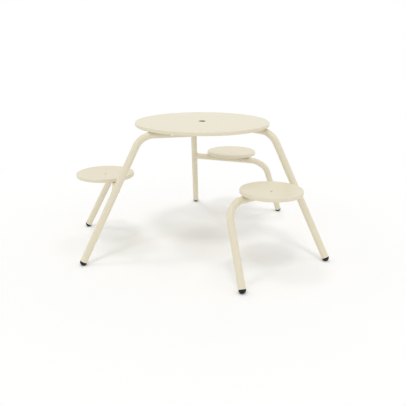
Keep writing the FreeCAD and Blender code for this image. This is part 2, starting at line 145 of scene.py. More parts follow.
# %% Start a finish and feed it
def finish(name, **constants):
    """New material: its node tree and its one shader, with what is the same all over set on the sockets."""
    material = bpy.data.materials.new(name)
    material.use_nodes = True
    tree = material.node_tree
    shader = tree.nodes["Principled BSDF"]
    feed(tree, shader, **constants)
    return material, tree, shader


def feed(tree, shader, **inputs):
    """Link or fill sockets of the shader."""
    for socket, value in inputs.items():
        set_socket(tree, shader.inputs[socket.replace("_", " ")], value)


# %% Mix the powder coat
CREAM_DEEP = (0.769, 0.703, 0.537)
CREAM_PALE = (0.780, 0.717, 0.551)
CREAM_ROUGHNESS = (0.32, 0.40)
GRAIN_SCALE = 900
GRAIN_DEPTH = 0.00002
DRIFT_SCALE = 140
DRIFT_DETAIL = 4

cream, tree, shader = finish("cream_powder_coat", IOR=1.5)
drift = noise(tree, DRIFT_SCALE, DRIFT_DETAIL)
grain = noise(tree, GRAIN_SCALE)
feed(tree, shader,
     Base_Color=ramp(tree, between(tree, drift, 0, 1), CREAM_DEEP, CREAM_PALE),
     Roughness=between(tree, drift, *CREAM_ROUGHNESS),
     Normal=bump(tree, grain, GRAIN_DEPTH))
print("finish:", cream.name)

# %% [markdown]
# ## Black rubber, black plastic and stainless steel
# The feet are black rubber, dull and a little dusty near the floor. The lining of the hole and the
# plugs of the tubes are moulded plastic, smoother and darker. The screws are plain stainless steel
# with fine drawing lines. Each is a few speckles on Object coordinates, so they hold from any side.

# %% Mix the rubber
RUBBER_BLACK = (0.010, 0.010, 0.011)
RUBBER_DUSTY = (0.024, 0.023, 0.022)
RUBBER_ROUGHNESS = (0.48, 0.66)
RUBBER_GLOSS_SCALE = 700
RUBBER_GRAIN_SCALE = 1600
RUBBER_GRAIN_DEPTH = 0.00004
DUST_TOP = 0.016
DUST_SCALE = 350
DUST_DETAIL = 5

rubber, tree, shader = finish("black_rubber", IOR=1.52, Specular_IOR_Level=0.25)
place = node(tree, "ShaderNodeTexCoord").outputs["Object"]
height = node(tree, "ShaderNodeSeparateXYZ", Vector=place).outputs["Z"]
dust = between(tree, height, low=1, high=0, start=0, end=DUST_TOP)
dusting = calc(tree, "MULTIPLY", dust, noise(tree, DUST_SCALE, DUST_DETAIL))
feed(tree, shader,
     Base_Color=ramp(tree, dusting, RUBBER_BLACK, RUBBER_DUSTY),
     Roughness=between(tree, noise(tree, RUBBER_GLOSS_SCALE), *RUBBER_ROUGHNESS),
     Normal=bump(tree, noise(tree, RUBBER_GRAIN_SCALE), RUBBER_GRAIN_DEPTH))
print("finish:", rubber.name)

# %% Mix the plastic
PLASTIC_BLACK = (0.006, 0.006, 0.007)
PLASTIC_WORN = (0.010, 0.010, 0.011)
PLASTIC_ROUGHNESS = (0.45, 0.60)
MOULD_SCALE = 1400
MOULD_DEPTH = 0.00002

plastic, tree, shader = finish("black_plastic", IOR=1.49, Specular_IOR_Level=0.15)
mould = noise(tree, MOULD_SCALE)
feed(tree, shader,
     Base_Color=ramp(tree, mould, PLASTIC_BLACK, PLASTIC_WORN),
     Roughness=between(tree, mould, *PLASTIC_ROUGHNESS),
     Normal=bump(tree, mould, MOULD_DEPTH))
print("finish:", plastic.name)

# %% Mix the stainless steel
STEEL_DULL = (0.80, 0.80, 0.82)
STEEL_BRIGHT = (0.90, 0.90, 0.91)
STEEL_ROUGHNESS = (0.18, 0.28)
DRAWN_SCALE = (3000, 3000, 250)
DRAWN_DETAIL = 3.0
DRAWN_DEPTH = 0.00001

steel, tree, shader = finish("stainless_steel", Metallic=1.0)
place = node(tree, "ShaderNodeTexCoord").outputs["Object"]
stretch = node(tree, "ShaderNodeMapping", Vector=place, Scale=DRAWN_SCALE).outputs["Vector"]
lines = node(tree, "ShaderNodeTexNoise", Vector=stretch, Scale=1.0, Detail=DRAWN_DETAIL).outputs["Fac"]
feed(tree, shader,
     Base_Color=ramp(tree, lines, STEEL_DULL, STEEL_BRIGHT),
     Roughness=between(tree, lines, *STEEL_ROUGHNESS),
     Normal=bump(tree, lines, DRAWN_DEPTH))
print("finish:", steel.name)

# %% [markdown]
# ## Turning a profile
# The top, the seats, the feet and the small fasteners are all round. Blender's Spin or Screw could
# turn them, but a profile written as points of (radius, height) gives each edge its own rounding,
# and lets a radius follow a hexagon where a nut or a socket needs flats.

# %% Turn a profile
MERGE_DISTANCE = 0.000001


def bend(middle, radius, first, last, steps):
    """Points along an arc of a profile, angles in degrees from outward towards up."""
    points = []
    for i in range(steps + 1):
        angle = math.radians(first + (last - first) * i / steps)
        points.append((middle[0] + radius * math.cos(angle), middle[1] + radius * math.sin(angle)))
    return points


def turned(profile, steps, closed=True, place=None):
    """Mesh body of a profile turned about Z. The profile is a list of points or a function of the angle."""
    body = bmesh.new()
    rows = []
    for i in range(steps):
        angle = 2 * math.pi * i / steps
        points = profile(angle) if callable(profile) else profile
        rows.append([body.verts.new((r * math.cos(angle), r * math.sin(angle), z)) for r, z in points])
    for row, following in zip(rows, rows[1:] + rows[:1]):
        pairs = list(zip(range(len(row)), range(1, len(row))))
        if closed:
            pairs.append((len(row) - 1, 0))
        for a, b in pairs:
            body.faces.new((row[a], following[a], following[b], row[b]))
    bmesh.ops.remove_doubles(body, verts=body.verts, dist=MERGE_DISTANCE)
    bmesh.ops.transform(body, matrix=place or Matrix(), verts=body.verts)
    return body


# %% Skin a body and keep the piece
SHARP_EDGE = 35


def smooth(mesh):
    """Shade a mesh smooth but for its real edges."""
    mesh.shade_smooth()
    mesh.set_sharp_from_angle(angle=math.radians(SHARP_EDGE))
    return mesh


def skin(body, name, material):
    """Plain mesh of a body, with its normals outward and its finish."""
    bmesh.ops.recalc_face_normals(body, faces=body.faces)
    mesh = bpy.data.meshes.new(name)
    body.to_mesh(mesh)
    body.free()
    mesh.materials.append(material)
    return smooth(mesh)


def keep(name, mesh, slot, *nodes):
    """Finished piece at the origin: it rides the one body, and stands for its CAD nodes."""
    piece = bpy.data.objects.new(name, mesh)
    scene.collection.objects.link(piece)
    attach(piece, "root")
    if nodes:
        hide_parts(*nodes)
    print(name, len(mesh.polygons), "faces")


# %% [markdown]
# ## Where everything stands
# One leg, one arm and one seat make a unit, and the table has three of them, a third of a turn
# apart. The unit is laid out once, with its leg's foot on +X, from the same named sizes as the CAD
# model but in metres. The copies are turned into place, so a change of size moves all three.

# %% Lay out one unit
FOOT_CIRCLE_RADIUS = 0.8036
LEG_CORNER_RADIUS = 0.4294
LEG_CORNER_ANGLE = -4.8
ARM_CORNER_RADIUS = 0.588
ARM_CORNER_ANGLE = 50.3
SEAT_FOOT_ANGLE = 48.35
RUN_HEIGHT = 0.706
RUN_LENGTH = 0.310
RUN_OFFSET = 0.175
ARM_HEIGHT = 0.408
SEAT_OUTSET = 0.0585


def at(radius, clockwise, height):
    """Point at a plan radius, an angle clockwise from the leg's foot, and a height."""
    angle = math.radians(-clockwise)
    return Vector((radius * math.cos(angle), radius * math.sin(angle), height))


def swung(direction, degrees):
    """Level direction turned counter-clockwise seen from above."""
    return Matrix.Rotation(math.radians(degrees), 3, "Z") @ direction


leg_floor = at(FOOT_CIRCLE_RADIUS, 0, 0)
leg_corner = at(LEG_CORNER_RADIUS, LEG_CORNER_ANGLE, RUN_HEIGHT)
leg_axis = (leg_corner - leg_floor).normalized()
run_swing = math.degrees(math.asin(RUN_OFFSET / LEG_CORNER_RADIUS))
run_direction = swung(-at(1, LEG_CORNER_ANGLE, 0), -run_swing)
run_end = leg_corner + run_direction * RUN_LENGTH
arm_start = leg_floor + (leg_corner - leg_floor) * (ARM_HEIGHT / RUN_HEIGHT)
arm_corner = at(ARM_CORNER_RADIUS, ARM_CORNER_ANGLE, ARM_HEIGHT)
arm_direction = (arm_corner - arm_start).normalized()
seat_floor = at(FOOT_CIRCLE_RADIUS, SEAT_FOOT_ANGLE, 0)
seat_leg_axis = (arm_corner - seat_floor).normalized()
seat_middle = (arm_start + arm_corner) / 2 + swung(arm_direction, 90) * SEAT_OUTSET
print("arm", round((arm_corner - arm_start).length, 3), "m long")
print("seat at", tuple(round(x, 3) for x in seat_middle))

# %% Turn the unit into its three places
UNIT_COUNT = 3
FIRST_LEG_BEARING = 90
UP = Vector((0, 0, 1))
NEARLY_ALONG = 0.9

units = []
for i in range(UNIT_COUNT):
    units.append(Matrix.Rotation(math.radians(FIRST_LEG_BEARING + i * 360 / UNIT_COUNT), 4, "Z"))


def stand(point, along, across=None):
    """Matrix that puts a piece made about the origin at a point, its +Z along one direction and its
    +X as near as can be to another. A round piece needs no other, and takes any across."""
    z = along.normalized()
    if across is None:
        across = Vector((1, 0, 0)) if abs(z.x) < NEARLY_ALONG else Vector((0, 1, 0))
    x = (across - z * across.dot(z)).normalized()
    y = z.cross(x)
    turn = Matrix((x, y, z)).transposed().to_4x4()
    return Matrix.Translation(point) @ turn


def moved(mesh, matrix):
    """Copy of a mesh in another place."""
    copy = mesh.copy()
    copy.transform(matrix)
    return copy


seat_place = stand(Vector((seat_middle.x, seat_middle.y, 0)), UP, arm_direction)
run_place = stand(leg_corner, UP, run_direction)
print("units:", len(units))

# %% [markdown]
# ## Bent tubes
# Each leg is one steel tube: a sloping leg that bends into a level run below the top. Each arm is a
# second tube, level below its seat and then bent down to its own foot. A tube follows a path, so
# Geometry Nodes make it: two straight lines become a curve, the corner is filleted at the radius of
# the bending tool, and a circle is swept along. The tree takes its sizes by name.

# %% Start and end a tree
def new_tree(name, **inputs):
    """Empty Geometry Nodes tree with one mesh in, one mesh out and named inputs."""
    tree = bpy.data.node_groups.new(name, "GeometryNodeTree")
    tree.interface.new_socket("Mesh", in_out="INPUT", socket_type="NodeSocketGeometry")
    tree.interface.new_socket("Mesh", in_out="OUTPUT", socket_type="NodeSocketGeometry")
    for socket, kind in inputs.items():
        tree.interface.new_socket(socket.replace("_", " "), in_out="INPUT", socket_type="NodeSocket" + kind)
    return tree, node(tree, "NodeGroupInput").outputs


def close_tree(tree, geometry, material):
    """End a tree in real faces with their finish."""
    real = node(tree, "GeometryNodeRealizeInstances", Geometry=geometry).outputs["Geometry"]
    dressed = node(tree, "GeometryNodeSetMaterial", Geometry=real, Material=material).outputs["Geometry"]
    node(tree, "NodeGroupOutput", Mesh=dressed)
    print("tree:", tree.name, "sockets:", [socket.name for socket in tree.interface.items_tree])


# %% Run a tree on a path
def path_mesh(paths, closed=False):
    """Mesh of edges from point to point along each path."""
    points = []
    edges = []
    for path in paths:
        first = len(points)
        points += path
        edges += [(i, i + 1) for i in range(first, len(points) - 1)]
        if closed:
            edges.append((len(points) - 1, first))
    mesh = bpy.data.meshes.new("path")
    mesh.from_pydata(points, edges, [])
    return mesh


def run_tree(tree, mesh, **inputs):
    """Plain mesh that a tree makes of a mesh. Inputs are set by the sockets' identifiers."""
    host = bpy.data.objects.new("host", mesh)
    scene.collection.objects.link(host)
    modifier = host.modifiers.new(tree.name, "NODES")
    modifier.node_group = tree
    for socket in tree.interface.items_tree:
        name = socket.name.replace(" ", "_")
        if name in inputs:
            modifier[socket.identifier] = inputs[name]
    result = bpy.data.meshes.new_from_object(host.evaluated_get(bpy.context.evaluated_depsgraph_get()))
    host.modifiers.remove(modifier)
    bpy.data.objects.remove(host)
    return result


# %% Tree for a bent tube
tube_tree, given = new_tree("bent tube", Tube_radius="Float", Bend_radius="Float", Bend_steps="Int",
                            Sides="Int", Paint="Material")
line = node(tube_tree, "GeometryNodeMeshToCurve", Mesh=given["Mesh"]).outputs["Curve"]
filleted = node(tube_tree, "GeometryNodeFilletCurve", {"mode": "POLY"}, Curve=line,
                Count=given["Bend steps"], Radius=given["Bend radius"]).outputs["Curve"]
ring = node(tube_tree, "GeometryNodeCurvePrimitiveCircle", Resolution=given["Sides"],
            Radius=given["Tube radius"]).outputs["Curve"]
swept = node(tube_tree, "GeometryNodeCurveToMesh", Curve=filleted, Profile_Curve=ring,
             Fill_Caps=True).outputs["Mesh"]
close_tree(tube_tree, swept, given["Paint"])

# %% [markdown]
# ## Legs and arms
# A domed rubber foot fills the last few millimetres of each leg, so the tube stops square where the
# dome begins. The arm's other end is cut to a saddle that fits the leg, as a welder would cope it.
# For two tubes of one radius the saddle has a simple formula, so its ring of points is moved there.

# %% Bend a leg
TUBE_RADIUS = 0.020
TUBE_SIDES = 64
BEND_RADIUS = 0.115
BEND_STEPS = 40
FOOT_DOME_HEIGHT = 0.020
FOOT_COLLAR = 0.002
FOOT_FLAT_DEPTH = 0.0008

dome_radius = (TUBE_RADIUS ** 2 + FOOT_DOME_HEIGHT ** 2) / (2 * FOOT_DOME_HEIGHT)


def tube_end(floor_point, axis):
    """Square lower end of a leg's tube."""
    dome_middle = floor_point + axis * ((dome_radius - FOOT_FLAT_DEPTH) / axis.z)
    return dome_middle - axis * (dome_radius - FOOT_DOME_HEIGHT - FOOT_COLLAR)


def bent_tube(*points):
    """Painted tube from point to point, bent at the middle one."""
    mesh = run_tree(tube_tree, path_mesh([points]), Tube_radius=TUBE_RADIUS, Bend_radius=BEND_RADIUS,
                    Bend_steps=BEND_STEPS, Sides=TUBE_SIDES, Paint=cream)
    return smooth(mesh)


leg_mesh = bent_tube(tube_end(leg_floor, leg_axis), leg_corner, run_end)
print("leg:", len(leg_mesh.polygons), "faces")

# %% Bend an arm, cope it to its leg, and set three of both
COPE_TRIM = 0.003
ON_START = 0.00001


def cope_reach(around):
    """How far along the arm the leg's wall is, on the side of the arm that faces a direction."""
    slope = arm_direction.dot(leg_axis)
    lift = around.dot(leg_axis)
    return max(TUBE_RADIUS * max(lift / (1 - slope), -lift / (1 + slope)), COPE_TRIM)


def coped(mesh):
    """Move the ring at the arm's start on to the leg's wall."""
    for vertex in mesh.vertices:
        offset = vertex.co - arm_start
        if abs(offset.dot(arm_direction)) < ON_START:
            around = (offset - arm_direction * offset.dot(arm_direction)).normalized()
            vertex.co = arm_start + arm_direction * cope_reach(around) + around * TUBE_RADIUS
    return mesh


arm_mesh = coped(bent_tube(arm_start, arm_corner, tube_end(seat_floor, seat_leg_axis)))
for i, unit in enumerate(units, 1):
    keep(f"bent_leg_{i}", moved(leg_mesh, unit), "cream_paint", f"leg_tube_{i}")
    keep(f"bent_seat_arm_{i}", moved(arm_mesh, unit), "cream_paint", f"seat_arm_{i}")

# %% [markdown]
# ## The round top
# The top is pressed from one sheet: flat, with a tight shoulder, a short upright rim and a lip that
# is turned in below. A disc with a bevel would lack the lip, which shows from below, so the whole
# section of the sheet is drawn and turned. A close ring beside the shoulder keeps the flat truly flat.

# %% Rim of a pressed pan
EDGE_STEPS = 8
LIP_STEPS = 4


def rim(shoulder, top, depth, radius, lip_end, inset=0, lean=0):
    """One side of a rim, from the shoulder over the edge and in to the end of the lip below. The sheet's
    other side is inset by its thickness."""
    top -= inset
    depth -= 2 * inset
    radius -= inset
    over = bend((shoulder, top - radius), radius, 90 + lean, 0, EDGE_STEPS)
    under = bend((shoulder, top - depth + radius), radius, 0, -90, EDGE_STEPS)
    steps = range(1, LIP_STEPS + 1)
    return over + under + [(shoulder + (lip_end - shoulder) * i / LIP_STEPS, top - depth) for i in steps]


# %% Draw the section of the top
TOP_HEIGHT = 0.746
TOP_RADIUS = 0.400
TOP_RIM_DEPTH = 0.0205
TOP_EDGE_RADIUS = 0.005
TOP_LIP_WIDTH = 0.012
TOP_SHEET = 0.003
LINING_HOLE_RADIUS = 0.020
LINING_STEP_RADIUS = 0.0219
LINING_STEP_DEPTH = 0.0015
FLAT_RING_GAP = 0.002

shoulder = TOP_RADIUS - TOP_EDGE_RADIUS
step_low = TOP_HEIGHT - LINING_STEP_DEPTH
flat_face = [(LINING_HOLE_RADIUS, step_low), (LINING_STEP_RADIUS, step_low),
             (LINING_STEP_RADIUS, TOP_HEIGHT), (LINING_STEP_RADIUS + FLAT_RING_GAP, TOP_HEIGHT),
             (shoulder - FLAT_RING_GAP, TOP_HEIGHT)]
top_rim = (shoulder, TOP_HEIGHT, TOP_RIM_DEPTH, TOP_EDGE_RADIUS, TOP_RADIUS - TOP_LIP_WIDTH)
upper_side = flat_face + rim(*top_rim)
under_side = [(r, z - TOP_SHEET) for r, z in flat_face] + rim(*top_rim, inset=TOP_SHEET)
print("section of the top:", len(upper_side) + len(under_side), "points")

# %% Turn the top, and press room for the runs into its lip
TOP_STEPS = 360
RUN_CLEARANCE = 0.0006
RUN_ROOM = TUBE_RADIUS + RUN_CLEARANCE


def middle_line(mesh):
    """Middle of each ring of a swept tube."""
    points = [v.co for v in mesh.vertices]
    rings = [points[i:i + TUBE_SIDES] for i in range(0, len(points), TUBE_SIDES)]
    return [sum(ring, Vector()) / TUBE_SIDES for ring in rings]


def nearest_on(line, point):
    """Nearest point of a line of short straights."""
    found = []
    for a, b in zip(line, line[1:]):
        spot, share = intersect_point_line(point, a, b)
        found.append(a if share < 0 else b if share > 1 else spot)
    return min(found, key=lambda spot: (spot - point).length)


def press_room(body, line, unit):
    """Lift the lip of the rim off a run that passes below it."""
    lifted = 0
    for vertex in body.verts:
        point = unit.inverted() @ vertex.co
        if point.z > RUN_HEIGHT + RUN_ROOM or point.x < LEG_CORNER_RADIUS / 2:
            continue
        spot = nearest_on(line, point)
        aside = (point - spot).xy.length
        if (point - spot).length < RUN_ROOM:
            vertex.co.z = spot.z + math.sqrt(RUN_ROOM ** 2 - aside ** 2)
            lifted += 1
    return lifted


top_body = turned(upper_side + under_side[::-1], TOP_STEPS)
print("lip points lifted:", [press_room(top_body, middle_line(leg_mesh), unit) for unit in units])
keep("tabletop", skin(top_body, "tabletop", cream), "cream_paint", "table_top")

# %% [markdown]
# ## The lining of the hole
# A parasol pole would rub the paint off the edge of the hole, so a black plastic lining is pushed
# in from above and held by a barb below the sheet. Its flange sits in a shallow pressed step, so the
# top stays flat. It is another turned section, with soft edges round the mouth.

# %% Turn the lining
LINING_BORE = 0.018
LINING_BODY = 0.0198
LINING_FLANGE = 0.0217
LINING_LOW = 0.727
LINING_TOP = 0.7459
LINING_BARB = 0.0202
LINING_BARB_TOP = 0.7413
LINING_BARB_LOW = 0.7383
LINING_SOFT = 0.0007
LINING_SOFT_STEPS = 5
LINING_STEPS = 96

soft_height = LINING_TOP - LINING_SOFT
lining = [(LINING_BORE, LINING_LOW), (LINING_BODY, LINING_LOW), (LINING_BODY, LINING_BARB_LOW),
          (LINING_BARB, LINING_BARB_TOP), (LINING_BODY, LINING_BARB_TOP), (LINING_BODY, step_low),
          (LINING_FLANGE, step_low)]
lining += bend((LINING_FLANGE - LINING_SOFT, soft_height), LINING_SOFT, 0, 90, LINING_SOFT_STEPS)
lining += bend((LINING_BORE + LINING_SOFT, soft_height), LINING_SOFT, 90, 180, LINING_SOFT_STEPS)
lining_mesh = skin(turned(lining, LINING_STEPS), "hole_lining", plastic)
keep("hole_lining", lining_mesh, "black_plastic", "parasol_bush")

# %% [markdown]
# ## The seats
# A seat is a smaller pan whose face is dished by about a centimetre, so a sitter doesn't slide and
# rain finds the drain in the middle, whose edge is drawn down into a short collar. The dish is part
# of a large sphere that runs smoothly into the shoulder, which a bent disc would only approach.

# %% Draw the section of a seat
SEAT_HEIGHT = 0.453
SEAT_RADIUS = 0.170
SEAT_RIM_DEPTH = 0.022
SEAT_EDGE_RADIUS = 0.005
SEAT_LIP_WIDTH = 0.010
SEAT_SHEET = 0.0025
SEAT_DISH = 0.011
SEAT_DRAIN_RADIUS = 0.0075
SEAT_DRAIN_COLLAR = 0.006
DISH_STEPS = 28

seat_shoulder = SEAT_RADIUS - SEAT_EDGE_RADIUS
dish_radius = (seat_shoulder ** 2 / SEAT_DISH + SEAT_DISH) / 2 - SEAT_EDGE_RADIUS
dish_middle = (0, SEAT_HEIGHT - SEAT_DISH + dish_radius)
lean = math.degrees(math.asin(seat_shoulder / (dish_radius + SEAT_EDGE_RADIUS)))


def dish(inset):
    """Points up the collar of the drain and over the dish to the shoulder, on one side of the sheet."""
    radius = dish_radius + inset
    start = SEAT_DRAIN_RADIUS + inset
    collar_low = (start, SEAT_HEIGHT - SEAT_DISH - SEAT_DRAIN_COLLAR)
    drain_lean = math.degrees(math.asin(start / radius))
    return [collar_low] + bend(dish_middle, radius, drain_lean - 90, lean - 90, DISH_STEPS)[:-1]


seat_rim = (seat_shoulder, SEAT_HEIGHT, SEAT_RIM_DEPTH, SEAT_EDGE_RADIUS, SEAT_RADIUS - SEAT_LIP_WIDTH)
seat_upper = dish(0) + rim(*seat_rim, lean=lean)
seat_under = dish(SEAT_SHEET) + rim(*seat_rim, inset=SEAT_SHEET, lean=lean)
print("dish of", round(dish_radius, 3), "m radius, section of", len(seat_upper) + len(seat_under), "points")

# %% Turn a seat and set three of them
SEAT_STEPS = 240

seat_mesh = skin(turned(seat_upper + seat_under[::-1], SEAT_STEPS, place=seat_place), "seat", cream)
for i, unit in enumerate(units, 1):
    keep(f"round_seat_{i}", moved(seat_mesh, unit), "cream_paint", f"seat_pan_{i}")

# %% [markdown]
# ## Feet and plugs
# A domed rubber foot is pushed into each lower tube end and stands a little flattened on the floor,
# whatever the slope of its leg. The inner end of each run gets a flat plastic plug. Both are turned
# about the tube's own axis, and the points of a foot that would sink into the floor are set on it.

# %% Turn the feet
FOOT_STEPS = 64
FOOT_SOFT = 0.0008
FOOT_SOFT_STEPS = 4
DOME_STEPS = 22

dome_middle_height = dome_radius - FOOT_DOME_HEIGHT - FOOT_COLLAR
dome_edge = -math.degrees(math.asin((dome_radius - FOOT_DOME_HEIGHT) / dome_radius))
foot_profile = bend((0, dome_middle_height), dome_radius, -90, dome_edge, DOME_STEPS)
foot_profile += bend((TUBE_RADIUS - FOOT_SOFT, -FOOT_SOFT), FOOT_SOFT, 0, 90, FOOT_SOFT_STEPS)
foot_profile.append((0, 0))


def foot(floor_point, axis, unit):
    """Foot in the end of a sloping leg, flattened on the floor."""
    place = unit @ stand(tube_end(floor_point, axis), axis)
    body = turned(foot_profile, FOOT_STEPS, closed=False, place=place)
    for vertex in body.verts:
        vertex.co.z = max(vertex.co.z, 0)
    return skin(body, "foot", rubber)


for i, unit in enumerate(units, 1):
    keep(f"leg_glide_{i}", foot(leg_floor, leg_axis, unit), "black_rubber", f"leg_foot_{i}")
    keep(f"seat_leg_glide_{i}", foot(seat_floor, seat_leg_axis, unit), "black_rubber", f"seat_leg_foot_{i}")

# %% Turn the plugs of the runs
PLUG_CAP = 0.003
PLUG_SOFT = 0.0015
PLUG_SOFT_STEPS = 6
PLUG_EASE = 0.0003

plug_edge = bend((TUBE_RADIUS - PLUG_SOFT, PLUG_SOFT - PLUG_CAP), PLUG_SOFT, -90, 0, PLUG_SOFT_STEPS)
plug_profile = [(0, -PLUG_CAP)] + plug_edge
plug_profile += [(TUBE_RADIUS, -PLUG_EASE), (TUBE_RADIUS - PLUG_EASE, 0), (0, 0)]
plug_place = stand(run_end, -run_direction)
for i, unit in enumerate(units, 1):
    body = turned(plug_profile, FOOT_STEPS, closed=False, place=unit @ plug_place)
    keep(f"run_plug_{i}", skin(body, "plug", plastic), "black_plastic", f"leg_end_plug_{i}")

# %% [markdown]
# ## Folded channels below the top
# Each run is bolted into a channel folded from sheet and welded below the top. The section of the
# channel, with its outer and inner fold radii, is drawn once and pushed along the run. A fine bevel
# on the cut edges is what a real sheet edge shows after painting.

# %% A flat outline with thickness
PAINTED_EDGE = 0.0005
# Turns a slab that lies flat so that it stands across +X, with its thickness along +X.
ALONG_X = Matrix(((0, 0, 1, 0), (1, 0, 0, 0), (0, 1, 0, 0), (0, 0, 0, 1)))


def slab(outline, thickness, place):
    """Body of an outline in XY, pushed along +Z, with its sharp edges slightly eased."""
    body = bmesh.new()
    face = body.faces.new([body.verts.new((x, y, 0)) for x, y in outline])
    pushed = bmesh.ops.extrude_face_region(body, geom=[face])["geom"]
    far_side = [v for v in pushed if isinstance(v, bmesh.types.BMVert)]
    bmesh.ops.translate(body, vec=(0, 0, thickness), verts=far_side)
    bmesh.ops.recalc_face_normals(body, faces=body.faces)
    sharp = [e for e in body.edges if e.calc_face_angle() > math.radians(SHARP_EDGE)]
    bmesh.ops.bevel(body, geom=sharp, offset=PAINTED_EDGE, segments=2, profile=0.5,
                    affect="EDGES", clamp_overlap=True)
    bmesh.ops.transform(body, matrix=place, verts=body.verts)
    return body


# %% Fold the channels
CHANNEL_OUTER = 0.0233
CHANNEL_INNER = 0.0203
CHANNEL_GAUGE = 0.003
CHANNEL_WEB_TOP = 0.037
CHANNEL_LOW = -0.009
CHANNEL_FOLD = 0.005
CHANNEL_START = 0.141
CHANNEL_LENGTH = 0.140
FOLD_STEPS = 6


def fold(half, top, radius):
    """One side of the folded sheet, up one flange, over the web and down the other."""
    right = bend((half - radius, top - radius), radius, 0, 90, FOLD_STEPS)
    left = bend((radius - half, top - radius), radius, 90, 180, FOLD_STEPS)
    return [(half, CHANNEL_LOW)] + right + left + [(-half, CHANNEL_LOW)]


section = fold(CHANNEL_OUTER, CHANNEL_WEB_TOP, CHANNEL_FOLD)
section += fold(CHANNEL_INNER, CHANNEL_WEB_TOP - CHANNEL_GAUGE, CHANNEL_FOLD - CHANNEL_GAUGE)[::-1]
for i, unit in enumerate(units, 1):
    place = unit @ run_place @ Matrix.Translation((CHANNEL_START, 0, 0)) @ ALONG_X
    body = slab(section, CHANNEL_LENGTH, place)
    keep(f"fixing_channel_{i}", skin(body, "channel", cream), "cream_paint", f"top_channel_{i}")

# %% [markdown]
# ## Seat carriers
# Below each seat a rounded plate is welded to the arm, with two ribs that are cut to sit on the
# tube. The plate and the four half ribs are flat cut sheet, so each is an outline with thickness.

# %% Draw the plate and the half ribs
PLATE_HALF_ALONG = 0.073
PLATE_HALF_ACROSS = 0.110
PLATE_CORNER = 0.015
PLATE_CORNER_STEPS = 10
RIB_HALF = 0.104
RIB_DEPTH = 0.014
RIB_TIP = 0.005
RIB_SADDLE = 0.024
RIB_CUSP = 78
RIB_SADDLE_STEPS = 12

plate_outline = []
for corner, (x, y) in enumerate(((1, 1), (-1, 1), (-1, -1), (1, -1))):
    middle = (x * (PLATE_HALF_ALONG - PLATE_CORNER), y * (PLATE_HALF_ACROSS - PLATE_CORNER))
    plate_outline += bend(middle, PLATE_CORNER, 90 * corner, 90 * corner + 90, PLATE_CORNER_STEPS)

saddle_low = math.degrees(math.asin((TUBE_RADIUS - RIB_DEPTH) / TUBE_RADIUS))
saddle = bend((0, -TUBE_RADIUS), TUBE_RADIUS, RIB_CUSP, saddle_low, RIB_SADDLE_STEPS)


def half_rib(side):
    """Outline of the rib on one side of the arm, in the plane across the arm."""
    tip = RIB_HALF + side * SEAT_OUTSET
    right = [(saddle[0][0], 0)] + saddle + [(RIB_SADDLE, -RIB_DEPTH), (tip, -RIB_TIP), (tip, 0)]
    return [(side * y - SEAT_OUTSET, z) for y, z in right]


print("plate of", len(plate_outline), "points, half ribs of", len(half_rib(1)))

# %% Cut and weld the carriers
PLATE_LOW = 0.428
PLATE_THICKNESS = 0.005
RIB_SPACING = 0.025


def joined(*bodies):
    """One mesh body from several."""
    whole = bmesh.new()
    for body in bodies:
        part = bpy.data.meshes.new("part")
        body.to_mesh(part)
        body.free()
        whole.from_mesh(part)
        bpy.data.meshes.remove(part)
    return whole


for i, unit in enumerate(units, 1):
    base = unit @ seat_place @ Matrix.Translation((0, 0, PLATE_LOW))
    sheets = [slab(plate_outline, PLATE_THICKNESS, base)]
    for x in (-RIB_SPACING, RIB_SPACING):
        for side in (1, -1):
            place = base @ Matrix.Translation((x - PLATE_THICKNESS / 2, 0, 0)) @ ALONG_X
            sheets.append(slab(half_rib(side), PLATE_THICKNESS, place))
    keep(f"seat_carrier_{i}", skin(joined(*sheets), "carrier", cream), "cream_paint", f"seat_bracket_{i}")

# %% [markdown]
# ## Fasteners
# Six screws hold the runs in their channels and twelve hold the seats. Each kind is turned once,
# with a hexagon for its flats or its socket and rings for its thread. Geometry Nodes then set a copy
# on every point, turned by an attribute that the point carries.

# %% Tree that sets a fastener on every point
fastener_tree, given = new_tree("fasteners", Fastener="Object", Finish="Material")
one = node(fastener_tree, "GeometryNodeObjectInfo", Object=given["Fastener"]).outputs["Geometry"]
turn = node(fastener_tree, "GeometryNodeInputNamedAttribute", {"data_type": "FLOAT_VECTOR"},
            Name="turn").outputs["Attribute"]
rotation = node(fastener_tree, "FunctionNodeEulerToRotation", Euler=turn).outputs["Rotation"]
spread = node(fastener_tree, "GeometryNodeInstanceOnPoints", Points=given["Mesh"], Instance=one,
              Rotation=rotation).outputs["Instances"]
close_tree(fastener_tree, spread, given["Finish"])


# %% Set a fastener in all its places
def scatter(name, body, places, material, slot, node_name):
    """One piece with a copy of the fastener at each place, for the CAD nodes of all three units."""
    template = bpy.data.objects.new("template", skin(body, "template", material))
    points = bpy.data.meshes.new("points")
    points.from_pydata([place.translation for place in places], [], [])
    turns = points.attributes.new("turn", "FLOAT_VECTOR", "POINT")
    for i, place in enumerate(places):
        turns.data[i].vector = place.to_euler()
    mesh = run_tree(fastener_tree, points, Fastener=template, Finish=material)
    bpy.data.objects.remove(template)
    keep(name, mesh, slot, *[f"{node_name}_{i}" for i in range(1, UNIT_COUNT + 1)])


# %% Threads and flats
THREAD = 0.004
THREAD_PITCH = 0.00125
THREAD_CUT = 0.0006
# One groove: shares of the pitch along it, each with its share of the cut.
THREAD_GROOVE = ((0.1, 0), (0.5, 1), (0.9, 0))
HEX_HALF = 0.0065
HEX_CHAMFER = 0.0061
HEX_CHAMFER_SLOPE = 30
SIXTH_TURN = math.pi / 3
FASTENER_STEPS = 48


def flats(half, angle):
    """Radius of a hexagon in a direction."""
    from_flat = (angle + SIXTH_TURN / 2) % SIXTH_TURN - SIXTH_TURN / 2
    return half / math.cos(from_flat)


